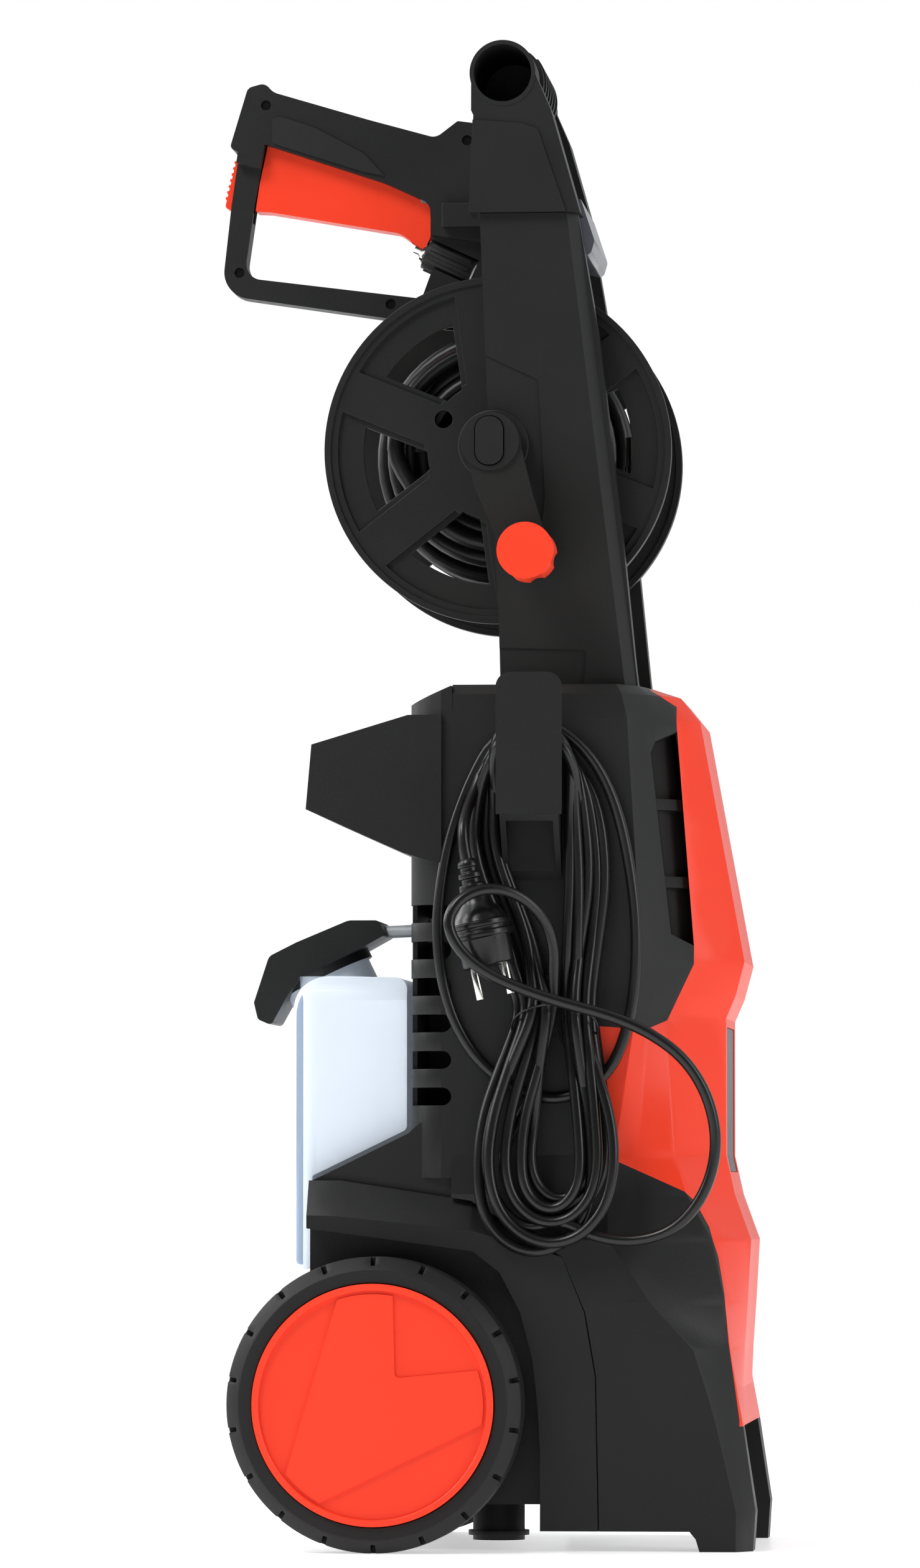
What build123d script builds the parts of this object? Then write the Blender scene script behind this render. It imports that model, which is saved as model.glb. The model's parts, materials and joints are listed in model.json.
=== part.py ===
from build123d import *
import math
import os

# Pressure washer on two wheels, millimetres. +Z is up, the front cover faces -Y, the wheels,
# the spray gun and the detergent bottle are at +Y. "left" is the -X side, with the crank and cord.

# Driving dimensions ---------------------------------------------------------------------------
WALL = 3.0
SIDE = 112.0                 # half width of the upper housing
BASE_SIDE = 128.0            # half width of the lower housing
WHEEL_FACE = 175.0           # outer face of the wheel covers, from the middle
WHEEL_R = 90.0
WHEEL_WIDTH = 43.0
WHEEL_Y, WHEEL_Z = 59.2, 90.0
AXLE_R = 6.0
DECK_Z = 532.0               # top of the housing
UPRIGHT_IN, UPRIGHT_OUT = 66.0, 92.0
BAR_Y, BAR_Z, BAR_R = -14.0, 913.2, 20.5
REEL_Y, REEL_Z = -8.3, 681.3
FLANGE_R = 108.4
FLANGE_FACE = 62.0           # outer face of a reel flange, from the middle
FLANGE_T = 6.0
DRUM_R = 44.0
HOSE_D = 10.5
SHAFT_R = 10.0
RUN_CLEAR = 0.06             # radial clearance of a shaft in its bush
KNOB_Y, KNOB_Z = -33.0, 610.5
GUN_HALF = 17.0
CORD_D = 7.0
PIN_SPACING = 19.0
PIN_R, PIN_LENGTH = 2.4, 19.0
INLET_TILT = math.radians(25)
TRIGGER_Y, TRIGGER_Z = 42.0, 845.0
LOCK_Y, LOCK_Z = 157.5, 857.0


# Small helpers --------------------------------------------------------------------------------
def face_yz(corners):
    """Closed face in the YZ plane; a corner is (y, z) or (y, z, radius)."""
    radii = [corner[2] if len(corner) > 2 else 0 for corner in corners]
    points = [(corner[0], corner[1]) for corner in corners]
    if any(radii):
        line = FilletPolyline(*points, radius=radii, close=True)
    else:
        line = Polyline(*points, close=True)
    return Plane.YZ * make_face(line)


def slab(x_from, x_to, corners):
    """Prism along X on a YZ outline."""
    return Pos(x_from, 0, 0) * extrude(face_yz(corners), x_to - x_from, dir=(1, 0, 0))


def block(x_range, y_range, z_range):
    """Box between two values on each axis."""
    size = [b - a for a, b in (x_range, y_range, z_range)]
    middle = [(a + b) / 2 for a, b in (x_range, y_range, z_range)]
    return Pos(*middle) * Box(*size)


def rod(start, end, radius):
    """Cylinder between two points."""
    a, b = Vector(*start), Vector(*end)
    return Plane(origin=a, z_dir=b - a) * Cylinder(
        radius, (b - a).length, align=(Align.CENTER, Align.CENTER, Align.MIN)
    )


def bar_along_y(y_range, corners):
    """Prism along Y on an outline of (x, z) corners."""
    outline = Polyline(*[(x, y_range[0], z) for x, z in corners], close=True)
    return extrude(make_face(outline), y_range[1] - y_range[0], dir=(0, 1, 0))


def disc_x(x_from, x_to, y, z, radius):
    """Cylinder along X."""
    return rod((x_from, y, z), (x_to, y, z), radius)


def ring_x(x_from, x_to, y, z, outer, inner):
    """Tube along X."""
    return disc_x(x_from, x_to, y, z, outer) - disc_x(x_from - 1, x_to + 1, y, z, inner)


def on_both_sides(shape):
    """The shape and its mirror image across the middle plane."""
    return [shape, mirror(shape, about=Plane.YZ)]


def group(shapes):
    """Separate solids in one node."""
    return Compound(children=[solid for shape in shapes for solid in shape.solids()])


def turned(shape, angle, y=REEL_Y, z=REEL_Z):
    """Turn a shape about an axis along X."""
    return Pos(0, y, z) * Rot(angle, 0, 0) * Pos(0, -y, -z) * shape


# Housing skin ---------------------------------------------------------------------------------
SEAM_Y = 16.0
SEAM_GAP = 0.8               # open joint between a wheel arch and the front housing
# Level z, then the half section's corners: side, side crease, two points of the corner facet, front.
LEVELS = [
    (0, (128, SEAM_Y), (128, -158.8), (120, -164.0), (112, -168.6), (86, -168.6)),
    (24, (128, SEAM_Y), (128, -159.0), (120, -165.0), (112, -170.2), (86, -170.2)),
    (77, (128, SEAM_Y), (128, -147.0), (119, -155.0), (109, -162.5), (78, -162.0)),
    (99, (128, SEAM_Y), (128, -140.7), (118, -149.0), (107, -158.5), (57, -160.0)),
    (123, (128, SEAM_Y), (128, -133.0), (117, -144.5), (106, -154.5), (57, -161.0)),
    (152, (128, SEAM_Y), (128, -106.5), (121, -122.0), (107, -151.5), (57, -163.0)),
    (190, (127, SEAM_Y), (127, -81.0), (125, -88.0), (108, -143.5), (57, -165.2)),
    (218, (117, SEAM_Y), (117, -80.0), (112, -100.0), (106, -128.0), (56, -155.1)),
    (242, (113, SEAM_Y), (113, -84.0), (107, -98.0), (100, -120.0), (55, -149.8)),
    (327, (112, SEAM_Y), (112, -97.0), (104, -105.0), (94, -115.0), (55, -149.8)),
    (341, (112, SEAM_Y), (112, -99.0), (104, -108.0), (93, -119.0), (56, -155.8)),
    (362, (112, SEAM_Y), (112, -101.0), (103, -111.0), (92, -123.0), (57, -161.4)),
    (511, (112, SEAM_Y), (112, -92.0), (103, -99.0), (92, -107.5), (55, -134.1)),
    (526, (111.5, SEAM_Y), (111.5, -88.5), (102.5, -95.5), (91, -103.0), (54.5, -122.0)),
    (532, (107, SEAM_Y), (107, -85.0), (98, -91.0), (88, -97.0), (52, -104.0)),
]


def section(z, corners, inset):
    """Horizontal outline of the housing at one level."""
    side = [(x - inset, y + (inset if i else 0)) for i, (x, y) in enumerate(corners)]
    other = [(-x, y) for x, y in reversed(side)]
    return Plane.XY.offset(z) * make_face(Polyline(*side, *other, close=True))


def front_core(inset, low, high):
    """Solid front part of the housing between two of its levels, moved in by inset."""
    levels = [level for level in LEVELS if low <= level[0] <= high]
    faces = [section(level[0], level[1:], inset) for level in levels]
    if inset and high >= DECK_Z:
        faces[-1] = section(DECK_Z - inset, levels[-1][1:], inset)
    return loft(faces, ruled=True)


def rear_core(inset):
    """Upper rear part of the housing, with rounded upright corners."""
    x, y = SIDE - inset, 42.8 - inset
    points = [(-x, SEAM_Y), (x, SEAM_Y), (x, y), (-x, y)]
    outline = FilletPolyline(*points, radius=[0, 0, 20 - inset, 20 - inset], close=True)
    tall = Pos(0, 0, 228) * extrude(make_face(outline), DECK_Z - inset - 228)
    top = [(SEAM_Y, 200), (60, 200), (60, 512 - inset), (43, 519.5 - inset)]
    top += [(17, 531 - inset), (SEAM_Y, 531 - inset)]
    return tall & slab(-130, 130, top)


# Boundaries between the covers, as seen from the side -----------------------------------------
COVER_EDGE = [(-101, 540), (-104, 530), (-120, 520), (-120.5, 508), (-131.5, 371), (-131.5, 360)]
COVER_EDGE += [(-115.5, 325), (-103, 319), (-75, 321), (-86, 238), (-126.7, 219.6), (-133, 213.5)]
COVER_EDGE += [(-141.6, 198), (-147.3, 179.6), (-151.1, 156.7), (-153.7, 126.7), (-160.5, 79.5)]
COVER_EDGE += [(-160.5, 76), (-210, 76), (-210, 540)]
VENT_EDGE = [(-124, 506), (-136, 369), (-118, 378), (-105.5, 490), (-108, 497)]
VENT_TRAY = [(-132, 514), (-144, 362), (-110, 366), (-98, 492), (-102, 505)]
ARCH_TOP = [(104.3, 226.5), (85, 226.5), (4, 214), (-52.7, 179.7)]
ARCH_SEAM = [(-66.4, 145.5), (-72.9, 106.8), (-74.7, 12.3)]
ARCH_EDGE = [(-39.2, 12.3), (-39.3, 61, 60), (-37.9, 86.6, 60), (-34.7, 116.6, 60)]
ARCH_EDGE += [(-27.1, 145.8, 30), (-14.5, 170, 25), (2, 183, 25), (60, 191, 60), (104.3, 197)]
LOW_ARCH_TOP = [(104.3, 205), (85, 204.5), (4, 196), (-52.7, 179.7)]
LOUVRE_LOW, LOUVRE_PITCH, LOUVRE_COUNT, LOUVRE_H = 278.0, 22.5, 6, 11.0


def front_skin():
    """Wall of the whole front part, covers and feet included."""
    solid = front_core(0, 0, DECK_Z)
    hollow = front_core(WALL, 99, DECK_Z) + block((-125, 125), (-115, SEAM_Y), (31, 100))
    hollow += block((-100, 100), (-150, -110), (79, 100))
    under = block((-BASE_SIDE + 12, BASE_SIDE - 12), (-130, 60), (-1, 28))
    between_feet = block((-84, 84), (-210, -112), (-1, 76))
    foot_step = slab(-140, 140, [(60, -1), (60, 12.3), (-130.6, 12.3), (-134.4, 7.7), (-137, -1)])
    return solid - hollow - under - between_feet - foot_step


def arch_region():
    """Side outline of a wheel arch, full height."""
    return ARCH_TOP + ARCH_SEAM + ARCH_EDGE


def fender():
    """Left wheel arch: a flared outer shell with the wheel opening."""
    flat = [corner[:2] for corner in arch_region()]
    inner = slab(-113.0, -108.0, flat)
    low = [corner[:2] for corner in LOW_ARCH_TOP + ARCH_SEAM + ARCH_EDGE]
    wide = Pos(-BASE_SIDE, 0, 0) * face_yz(low)
    narrow = Pos(-113.0, 0, 0) * face_yz(flat)
    return inner + loft([wide, narrow], ruled=True)


def lower_rear():
    """Rear of the base between the wheels, with the sloping shelf under the bottle."""
    outer = [(SEAM_Y, 262), (36, 262), (43.3, 255.4), (94.5, 230.4), (104, 226), (104, 40, 12)]
    outer += [(90, 28, 6), (-39, 28), (-39, 200), (SEAM_Y, 240)]
    inner = [(SEAM_Y - 8, 259), (35, 259), (41, 253), (92, 227.5), (101, 223), (101, 42, 9)]
    inner += [(89, 31, 4), (-60, 31), (-60, 259)]
    shell = slab(-107.9, 107.9, outer) - slab(-104.9, 104.9, inner)
    drain = slab(-97, -70, [(96, 231), (96, 240), (50, 262), (50, 253.5)])
    return shell - drain - mirror(drain, about=Plane.YZ)


def louvres():
    """Cutter for the wrap-round air slots on both rear corners."""
    cut = []
    for index in range(LOUVRE_COUNT):
        z = LOUVRE_LOW + index * LOUVRE_PITCH
        half = LOUVRE_H / 2
        bar = block((-130, -84), (22, 60), (z - half, z + half))
        cut += on_both_sides(bar + disc_x(-130, -84, 22, z, half))
    return cut


def rear_housing():
    upper = rear_core(0) - rear_core(WALL)
    for slot in louvres():
        upper -= slot
    rib = block((-1.5, 1.5), (SEAM_Y + 0.2, 41), (266, 420))
    shell = upper + rib + lower_rear()
    shell -= rod((0, 30, 383.7), (0, 60, 383.7), 8.0)
    for x in (-107.5, 91.5):
        shell += block((x, x + 16), (WHEEL_Y - 14, WHEEL_Y + 14), (29, 106))
    return shell - disc_x(-200, 200, WHEEL_Y, WHEEL_Z, AXLE_R)


def front_housing(skin):
    keep = skin - slab(-140, 140, COVER_EDGE) - slab(-140, -70, VENT_EDGE) - slab(70, 140, VENT_EDGE)
    keep -= block((-108, 108), (-39, 60), (20, 31.1))
    seam = [(y - SEAM_GAP, z) for y, z in ARCH_SEAM]
    for sign in (-1, 1):
        edges = sorted((sign * 100, sign * 140))
        keep -= slab(*edges, ARCH_TOP + seam + [(-74.7 - SEAM_GAP, -1), (104.3, -1)])
    keep -= rod((0, -58, 500), (0, -58, 560), 5.0)
    return keep


def front_cover(skin):
    badge = block((-44, 44), (-160, -148.3), (232, 322))
    return (skin & slab(-140, 140, COVER_EDGE)) - badge


def vent_grilles():
    under_wall = front_core(WALL + 0.05, 242, 511)
    tray = (under_wall - front_core(8.5, 242, 511)) & slab(-140, -66, VENT_TRAY)
    well = (under_wall - front_core(6.5, 242, 511)) & slab(-140, -66, VENT_EDGE)
    bars = block((-140, -66), (-150, -80), (455, 462)) + block((-140, -66), (-150, -80), (407, 414))
    return group(on_both_sides(tray - (well - bars)))


def front_badge():
    plate = block((-43.7, 43.7), (-160, -148.6), (232.3, 321.7)) & front_core(0.6, 218, 341)
    return plate - front_core(2.6, 218, 341)


# Handle, uprights and holders -----------------------------------------------------------------
UPRIGHT_REAR = [(-12.3, 532.3), (-11.2, 578.5), (-4.3, 708.9), (0.5, 826)]
UPRIGHT_FRONT = [(-60.0, 826), (-72.9, 749.8), (-87.5, 625), (-95.5, 545), (-97, 532.3)]


def upright():
    """Left upright: a hollow column with a bevelled front corner."""
    column = slab(-UPRIGHT_OUT, -UPRIGHT_IN, UPRIGHT_REAR + UPRIGHT_FRONT)
    core = [(-20, 520), (-19, 578.5), (-12.3, 708.9), (-7.5, 820), (-48, 820), (-63, 749.8)]
    core += [(-78, 625), (-87, 520)]
    column -= slab(-UPRIGHT_OUT + WALL, -UPRIGHT_IN + WALL, core)
    bevel_low = Plane.XY.offset(520) * make_face(
        Polyline((-93, -90.2), (-93, -112), (-83, -112), (-83, -97.5), close=True))
    bevel_high = Plane.XY.offset(830) * make_face(
        Polyline((-93, -52.4), (-93, -72), (-83, -72), (-83, -59.6), close=True))
    column -= loft([bevel_low, bevel_high], ruled=True)
    column -= slab(-93, -UPRIGHT_OUT + 1.2, [(-5, 556), (-5, 532), (-64, 532), (-66, 554, 3)])
    step = [(20, 744), (-4.3, 737), (-36, 722, 4), (-40, 650), (-37, 620), (20, 622)]
    column -= slab(-93, -UPRIGHT_OUT + 1.2, step)
    bridge = disc_x(-UPRIGHT_OUT + 1.2, -UPRIGHT_IN, REEL_Y, REEL_Z, 20)
    return (column + bridge) - disc_x(-100, -50, REEL_Y, REEL_Z, 15.0)


def handle_top():
    """Top bracket: two skirts that cap the uprights, and the hollow bar across them."""
    bar = disc_x(-96, 96, BAR_Y, BAR_Z, BAR_R)
    skirt = [(BAR_Y + BAR_R - 1, BAR_Z), (5.6, 890), (4.2, 887), (6.8, 826.3), (-55.6, 826.3)]
    skirt += [(-62, 826.3), (-44, 890), (BAR_Y - BAR_R + 0.5, BAR_Z)]
    leg = slab(-95.5, -62, skirt)
    ledge = slab(-97, -95.5, [(6.8, 826.3), (4.6, 884), (-26, 881.5), (-36, 878), (-53.5, 826.3)])
    legs = [solid for shape in (leg, ledge) for solid in on_both_sides(shape)]
    body = bar
    for piece in legs:
        body += piece
    body -= disc_x(-100, -3, BAR_Y, BAR_Z, BAR_R - 2.6)
    return body - disc_x(3, 100, BAR_Y, BAR_Z, BAR_R - 2.6)


def grip_insert():
    """Soft ribbed strip let into the front of the bar between the skirts."""
    strip = ring_x(-56, 56, BAR_Y, BAR_Z, BAR_R + 2.2, BAR_R + 0.0)
    strip &= block((-60, 60), (-60, BAR_Y - 4), (BAR_Z - 18, BAR_Z + 18))
    for index in range(6):
        x = -45 + index * 18
        strip += ring_x(x - 2.5, x + 2.5, BAR_Y, BAR_Z, BAR_R + 3.4, BAR_R + 1.0) & block(
            (-60, 60), (-60, BAR_Y - 6), (BAR_Z - 15, BAR_Z + 15))
    return strip


def cross_bar():
    profile = [(-48, 838), (-60.3, 838), (-68.9, 812, 5), (-66, 802, 4), (-52, 806), (-44, 826)]
    return slab(-61.8, 61.8, profile)


def gun_cradle():
    """Rail between the uprights with an open fork that holds the gun's barrel."""
    rail = block((-UPRIGHT_IN + 0.1, UPRIGHT_IN - 0.1), (-34, -24), (806, 824))
    neck = block((-14, 14), (-26, 1.5), (806, 841))
    room = block((-GUN_HALF - 0.6, GUN_HALF + 0.6), (4.4, 40), (820, 850))
    fork = block((-26, 26), (1.5, 30), (826, 841)) - room
    return rail + neck + fork


def reel_bushes():
    left = ring_x(-96, -65, REEL_Y, REEL_Z, 15.0, SHAFT_R + RUN_CLEAR)
    left += ring_x(-96, -92.1, REEL_Y, REEL_Z, 22.0, SHAFT_R + RUN_CLEAR)
    return group(on_both_sides(left))


def cord_hook():
    """Upright plate on a hollow arm whose sloping underside is open."""
    plate = slab(-150, -146, [(-14, 450), (-54.3, 450), (-54.3, 537, 9), (-14, 537, 9)])
    arm = bar_along_y((-52, -16), [(-147, 450), (-147, 488), (-SIDE - 0.1, 488), (-SIDE - 0.1, 411)])
    room = [(-143.5, 440), (-143.5, 484.5), (-117, 484.5), (-117, 400)]
    return plate + arm - bar_along_y((-48.5, -19.5), room)


def accessory_pocket():
    """Rear holder that wraps the housing, with wells for the lance, the gun and two nozzles."""
    side = [(43.0, 513), (22.2, 513), (22.2, 421), (46, 428), (106.2, 455), (102.7, 495)]
    box = slab(-116, 116, side) - block((-SIDE - 0.2, SIDE + 0.2), (0, 43.1), (400, 540))
    for x, radius in ((-84, 18), (84, 18), (-36, 14), (36, 14)):
        box -= rod((x, 74, 400), (x, 74, 540), radius)
    return box


# Wheels and feet ------------------------------------------------------------------------------
def tyre():
    """Left tyre with bevelled shoulders and tread notches."""
    x_in, x_out = -WHEEL_FACE + 2 + WHEEL_WIDTH, -WHEEL_FACE + 2
    with BuildPart() as made:
        with BuildSketch(Plane.XY):
            with BuildLine():
                Polyline((x_in, 74), (x_in, 84), (x_in - 5, WHEEL_R), (x_out + 7, WHEEL_R),
                         (x_out, 82), (x_out, 74), close=True)
            make_face()
        revolve(axis=Axis.X)
    notch_count = 18
    solid = made.part
    for index in range(notch_count):
        notch = block((x_out - 1, x_out + 12), (-1.4, 1.4), (84.5, 92))
        solid -= Rot(360 / notch_count * index, 0, 0) * notch
    return Pos(0, WHEEL_Y, WHEEL_Z) * solid


def rim():
    """Left rim: barrel, web and hub bored for the axle."""
    x_in = -WHEEL_FACE + 2 + WHEEL_WIDTH
    barrel = ring_x(-168, x_in - 1, WHEEL_Y, WHEEL_Z, 74, 69)
    web = ring_x(-155, -151, WHEEL_Y, WHEEL_Z, 70, 14)
    hub = ring_x(-162, x_in + 1, WHEEL_Y, WHEEL_Z, 15, AXLE_R + RUN_CLEAR)
    return barrel + web + hub


def wheel_cover():
    """Left cover disc with a raised border and a plateau bounded by two chords and a corner."""
    disc = disc_x(-WHEEL_FACE + 3.4, -168, WHEEL_Y, WHEEL_Z, 73.6)
    border = ring_x(-WHEEL_FACE, -170, WHEEL_Y, WHEEL_Z, 73.6, 69.5)
    border -= Pos(-WHEEL_FACE, WHEEL_Y, WHEEL_Z) * Rot(0, 90, 0) * Cone(72.3, 68.3, 4)
    plateau = [(79, 159.8), (47.3, 175), (45.7, 106.4, 3), (-30, 113.6), (-30, 89.5), (91.3, 30.9)]
    plateau += [(117.5, 18.2), (120.5, 20)]
    raised = slab(-WHEEL_FACE + 1.8, -170, plateau) & disc_x(-180, -160, WHEEL_Y, WHEEL_Z, 67.4)
    return disc + border + raised


def axle():
    shaft = rod((-165.5, WHEEL_Y, WHEEL_Z), (165.5, WHEEL_Y, WHEEL_Z), AXLE_R)
    clips = on_both_sides(ring_x(-165, -163, WHEEL_Y, WHEEL_Z, 9, AXLE_R - 1))
    return shaft + clips[0] + clips[1]


# Hose reel ------------------------------------------------------------------------------------
def reel_flange(hand):
    """Reel flange with six spokes; hand is -1 for the crank side."""
    x_out, x_in = hand * FLANGE_FACE, hand * (FLANGE_FACE - FLANGE_T)
    low, high = min(x_out, x_in), max(x_out, x_in)
    disc = disc_x(low, high, REEL_Y, REEL_Z, FLANGE_R)
    lip = ring_x(low - 1.5, high + 1.5, REEL_Y, REEL_Z, FLANGE_R, FLANGE_R - 4)
    window = ring_x(-80, 80, REEL_Y, REEL_Z, 84, DRUM_R)
    sunk = ring_x(min(x_out, hand * 80), max(x_out, hand * 80), REEL_Y, REEL_Z, 100, DRUM_R + 2)
    sunk = Pos(-hand * 2.6, 0, 0) * sunk
    for index in range(6):
        spoke = block((-90, 90), (0, 120), (-17, 17))
        narrow = block((-90, 90), (0, 120), (-13.5, 13.5))
        window -= Pos(0, REEL_Y, REEL_Z) * Rot(22 + 60 * index, 0, 0) * spoke
        sunk -= Pos(0, REEL_Y, REEL_Z) * Rot(22 + 60 * index, 0, 0) * narrow
    shape = disc + lip - window - sunk
    for angle in (30, 150, 270):
        hole = disc_x(-80, 80, REEL_Y + 39, REEL_Z, 5.5)
        shape -= turned(hole, angle)
    slot = block((-80, 80), (REEL_Y + 68, REEL_Y + 84), (REEL_Z - 7, REEL_Z + 7))
    shape -= turned(slot, 158)
    return shape - disc_x(-80, 80, REEL_Y, REEL_Z, SHAFT_R)


def reel_drum():
    """Drum barrel on the reel's shaft; the shaft's ends turn in the bushes."""
    inner = FLANGE_FACE - FLANGE_T
    barrel = ring_x(-inner, inner, REEL_Y, REEL_Z, DRUM_R, DRUM_R - 3)
    web = disc_x(-2, 2, REEL_Y, REEL_Z, DRUM_R - 1)
    return barrel + web + disc_x(-112, 98, REEL_Y, REEL_Z, SHAFT_R)


def reel_hose():
    """High-pressure hose wound on the drum: layers of turns side by side."""
    solid = ring_x(-50, 50, REEL_Y, REEL_Z, DRUM_R + 3 * HOSE_D - 0.4, DRUM_R)
    return solid + ring_x(-22, 50, REEL_Y, REEL_Z, DRUM_R + 4 * HOSE_D - 3.0, DRUM_R)


def hose_fitting():
    """Metal end of the wound hose, clipped inside the crank-side flange."""
    stem = rod((-44, -92, 655), (-44, -92, 672), 6.0)
    return stem + rod((-44, -92, 642), (-44, -92, 655), 8.5) + rod((-44, -92, 672), (-44, -92, 690), 5.0)


def crank_arm():
    """Crank arm outside the left upright, stepped out towards the knob."""
    hub = disc_x(-112, -97, REEL_Y, REEL_Z, 18)
    blade = [(REEL_Y + 17, REEL_Z + 4), (REEL_Y - 16, REEL_Z + 8), (-34, 650), (-47, 607, 12), (-24, 596, 12)]
    blade += [(2, 655)]
    arm = slab(-122, -110, blade)
    boss = disc_x(-126, -114, KNOB_Y, KNOB_Z, 15)
    shape = hub + arm + disc_x(-124, -110, REEL_Y, REEL_Z, 18) + boss
    shape -= disc_x(-118, -90, REEL_Y, REEL_Z, SHAFT_R)
    shape -= slab(-130, -119, [(1.2, 697, 8.5), (-17.2, 697, 8.5), (-17.2, 666, 8.5), (1.2, 666, 8.5)])
    return shape + disc_x(-158, -124, KNOB_Y, KNOB_Z, 5)


def crank_insert():
    """Pill-shaped insert let into the crank's hub."""
    pill = [(0.6, 696.4, 8), (-16.6, 696.4, 8), (-16.6, 666.6, 8), (0.6, 666.6, 8)]
    return slab(-125.5, -119, pill)


def crank_knob():
    """Knob with six shallow grip flutes that spins on the crank's pin."""
    knob = disc_x(-164, -127.5, KNOB_Y, KNOB_Z, 17.3)
    for index in range(6):
        flute = disc_x(-160.5, -120, KNOB_Y + 24, KNOB_Z, 8.6)
        knob -= turned(flute, 60 * index + 12, KNOB_Y, KNOB_Z)
    return knob - disc_x(-158.5, -120, KNOB_Y, KNOB_Z, 5 + RUN_CLEAR)


# Spray gun ------------------------------------------------------------------------------------
GUN_BODY = [(142.5, 919.5, 6), (153.6, 916.5, 5), (165.0, 878.6, 3), (160, 875.8), (164.8, 842)]
GUN_BODY += [(171.0, 786, 17), (69.2, 770.7), (36, 765.5)]
GUN_BODY += [(6.0, 765.5, 2), (6.0, 892), (20.6, 894.0, 2), (34.4, 883.5, 8), (77.5, 895.5, 20)]
GUN_BODY += [(137.8, 913.6, 10)]
GUN_WINDOW = [(150.4, 840, 4), (156.6, 796.8, 10), (44, 782.5), (37.6, 800), (37.6, 826)]
GUN_WINDOW += [(38, 842, 8), (66.8, 855.3, 20), (142.9, 880.7)]


def gun_solid():
    """Whole gun outline: grip along the top, guard loop below, barrel pointing down."""
    grip = slab(-GUN_HALF, GUN_HALF, GUN_BODY) - slab(-30, 30, GUN_WINDOW)
    slim = slab(-30, -GUARD_HALF, [(-5, 755), (180, 755), (180, 874), (38, 838), (37, 822), (-5, 815)])
    return grip - slim - mirror(slim, about=Plane.YZ)


TRIGGER_ROOM = [(151, 900), (151, 838), (140, 830), (33, 806), (33, 852), (77, 870), (139, 897)]
LOCK_ROOM = [(150.5, 878), (175, 878), (175, 832), (150.5, 832)]
GUARD_HALF = 9.5
# Screw y, z and the half width of the gun there.
GUN_SCREWS = [(142.1, 905.3, GUN_HALF), (159.6, 800, GUARD_HALF), (63.6, 779.2, GUARD_HALF)]
GUN_SCREWS += [(14.7, 881.7, GUN_HALF)]
SCREW_SINK = 1.4


def gun_shell(hand):
    """One half of the gun's casing, hollowed for the valve and trigger."""
    cut = block((0, 40), (-20, 200), (740, 940))
    half = gun_solid() - (cut if hand < 0 else mirror(cut, about=Plane.YZ))
    half -= slab(-13, 13, [(30, 826), (12, 826), (12, 872), (36, 874), (60, 880), (60, 862), (34, 852)])
    half -= rod((0, 21, 760), (0, 21, 786.2), 12.2)
    half -= gun_inlet_rod(-17, 40, 12.6)
    half -= slab(-9.2, 9.2, TRIGGER_ROOM)
    half -= slab(-6.5, 6.5, LOCK_ROOM)
    for y, z, face in GUN_SCREWS:
        seat = face - SCREW_SINK - 1.4
        half -= disc_x(-40, -seat, y, z, 3.2) + disc_x(seat, 40, y, z, 3.2)
        half -= disc_x(-face - 1, face + 1, y, z, 1.8)
    half -= disc_x(-12.9, 12.9, TRIGGER_Y, TRIGGER_Z, 2.5) + disc_x(-9.4, 9.4, LOCK_Y, LOCK_Z, 2.0)
    return half


def gun_inlet_rod(start, end, radius):
    """Cylinder on the inlet's axis, which points back and up from the barrel."""
    along = Vector(0, math.cos(INLET_TILT), math.sin(INLET_TILT))
    middle = Vector(0, 26.5, 806.0)
    return rod(middle + along * start, middle + along * end, radius)


def gun_screws():
    """Casing screws, their heads sunk in round wells on the crank side."""
    screws = []
    for y, z, face in GUN_SCREWS:
        head = disc_x(-face + SCREW_SINK, -face + SCREW_SINK + 1.3, y, z, 3.0)
        screws.append(head + disc_x(-face + SCREW_SINK + 1, face - SCREW_SINK - 1.5, y, z, 1.7))
    return group(screws)


def gun_grip_inserts():
    """Soft side panels on the grip, standing slightly proud."""
    panel = [(131.5, 897.5, 2), (111.4, 890.8), (79.8, 873.9), (67, 859.6), (80, 862.2)]
    panel += [(138, 881, 2), (138, 897.5, 2)]
    return group(on_both_sides(slab(-GUN_HALF - 1.2, -GUN_HALF, panel)))


def gun_barrel():
    """Lance socket at the lower end of the barrel."""
    return rod((0, 21, 764), (0, 21, 786), 12.0) - rod((0, 21, 760), (0, 21, 782), 8.5)


def gun_collar():
    """Ribbed collar that turns on the inlet nipple."""
    shape = gun_inlet_rod(-15.5, 16, 10.6)
    for index in range(12):
        rib = gun_inlet_rod(-13, 14, 1.6)
        axis = Axis((0, 26.5, 806.0), (0, math.cos(INLET_TILT), math.sin(INLET_TILT)))
        shape += (Pos(10.2, 0, 0) * rib).rotate(axis, index * 30)
    return shape - gun_inlet_rod(-20, 20, 6.0 + RUN_CLEAR)


def gun_nipple():
    """Chromed stem of the inlet, seen behind the ribbed collar."""
    return gun_inlet_rod(-15.5, 20, 6.0) + gun_inlet_rod(17, 19, 7.6) + gun_inlet_rod(19, 24, 5.0)


def gun_trigger():
    lever = [(147, 856), (149, 842.4, 2), (149.5, 838.8, 1), (140, 838.3), (57.7, 824, 10), (44, 814, 2)]
    lever += [(38.4, 817), (38.4, 843), (48, 852), (66.8, 861.2), (141, 884)]
    body = slab(-8.8, 8.8, lever)
    inlet = gun_inlet_rod(4, 28, 8.8)
    body -= inlet + Pos(0, -3.4, 0) * inlet
    body -= gun_inlet_rod(-20, 17.5, 12.8)
    return body - disc_x(-10, 10, TRIGGER_Y, TRIGGER_Z, 2.5 + RUN_CLEAR)


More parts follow.
